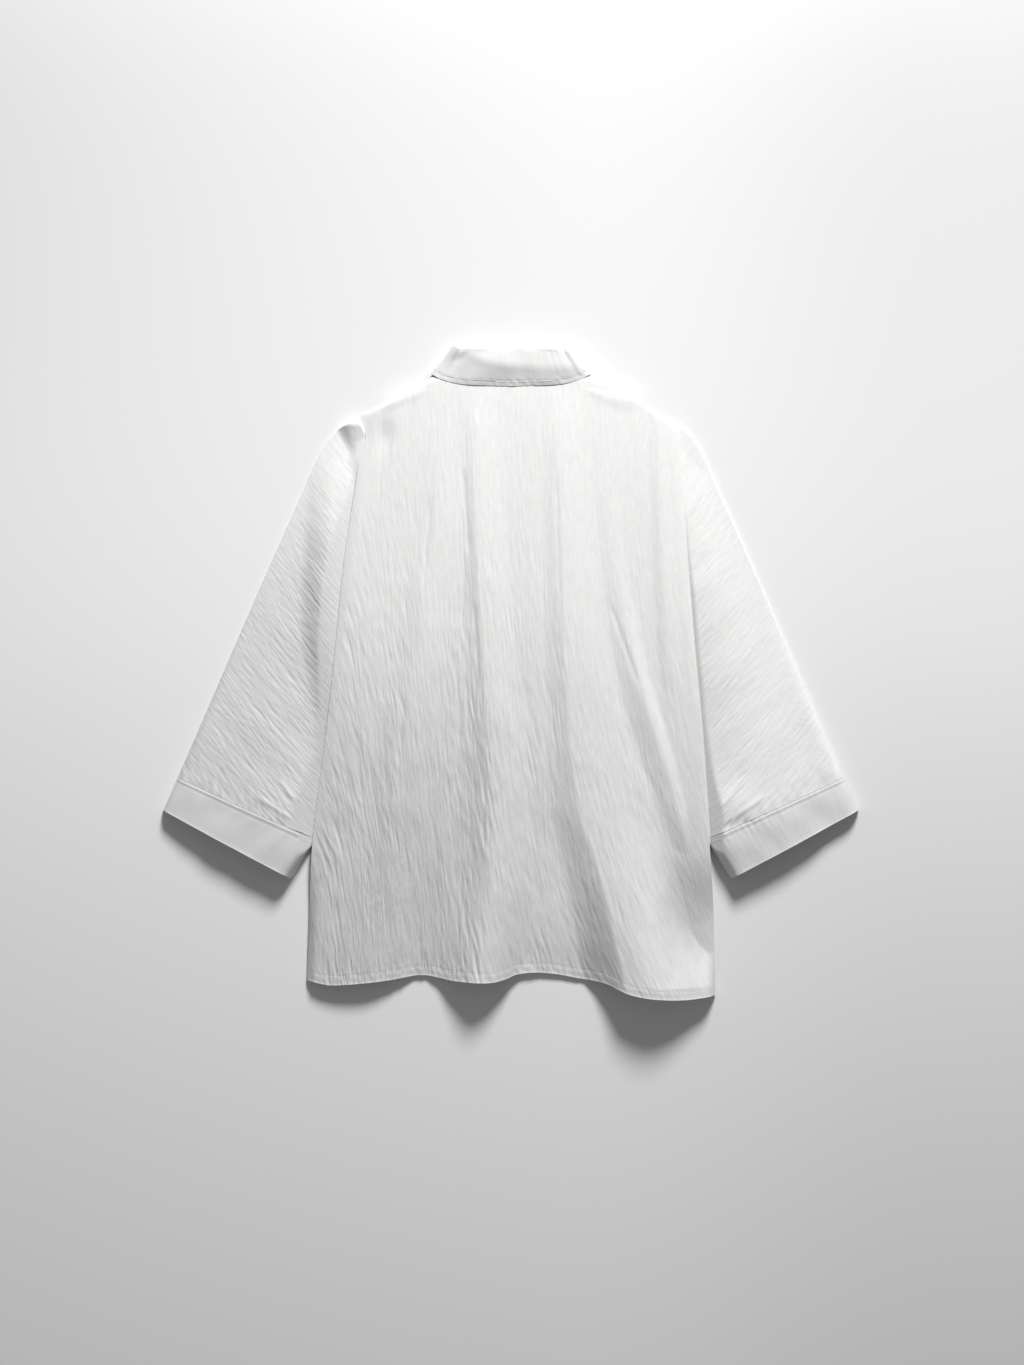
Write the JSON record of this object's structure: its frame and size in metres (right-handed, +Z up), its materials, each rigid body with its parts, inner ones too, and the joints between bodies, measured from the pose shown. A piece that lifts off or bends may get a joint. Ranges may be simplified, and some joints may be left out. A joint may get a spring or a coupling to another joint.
{
  "type": "button shirt laid flat",
  "caption": "Loose crinkled shirt with a turn-down collar, dropped shoulders and three-quarter sleeves with band cuffs, laid flat on its front with its wavy back hem lifted in soft folds.",
  "frame": {"origin": "on the surface the shirt lies on, under the middle of its bounding box", "axes": "+Z up from the surface; +Y towards the collar; +X across the back towards the wearer's right sleeve"},
  "size_m": [0.7988, 0.7449, 0.0424],
  "materials": {
    "back": "crinkled plain weave with a soft sheen",
    "front_left": "crinkled plain weave with a soft sheen",
    "front_right": "crinkled plain weave with a soft sheen",
    "sleeve_left": "crinkled plain weave with a soft sheen",
    "sleeve_right": "crinkled plain weave with a soft sheen",
    "cuff_left": "crinkled plain weave, doubled and stiffened",
    "cuff_right": "crinkled plain weave, doubled and stiffened",
    "collar": "crinkled plain weave, doubled and stiffened",
    "button_1": "smooth, softly shiny",
    "button_2": "smooth, softly shiny",
    "button_3": "smooth, softly shiny",
    "button_4": "smooth, softly shiny",
    "button_5": "smooth, softly shiny",
    "button_6": "smooth, softly shiny"
  },
  "bodies": {
    "root": {"back": "back", "front_left": "front_left", "front_right": "front_right", "sleeve_left": "sleeve_left", "sleeve_right": "sleeve_right", "cuff_left": "cuff_left", "cuff_right": "cuff_right", "collar": "collar", "button_1": "button_1", "button_2": "button_2", "button_3": "button_3", "button_4": "button_4", "button_5": "button_5", "button_6": "button_6"}
  },
  "joints": []
}
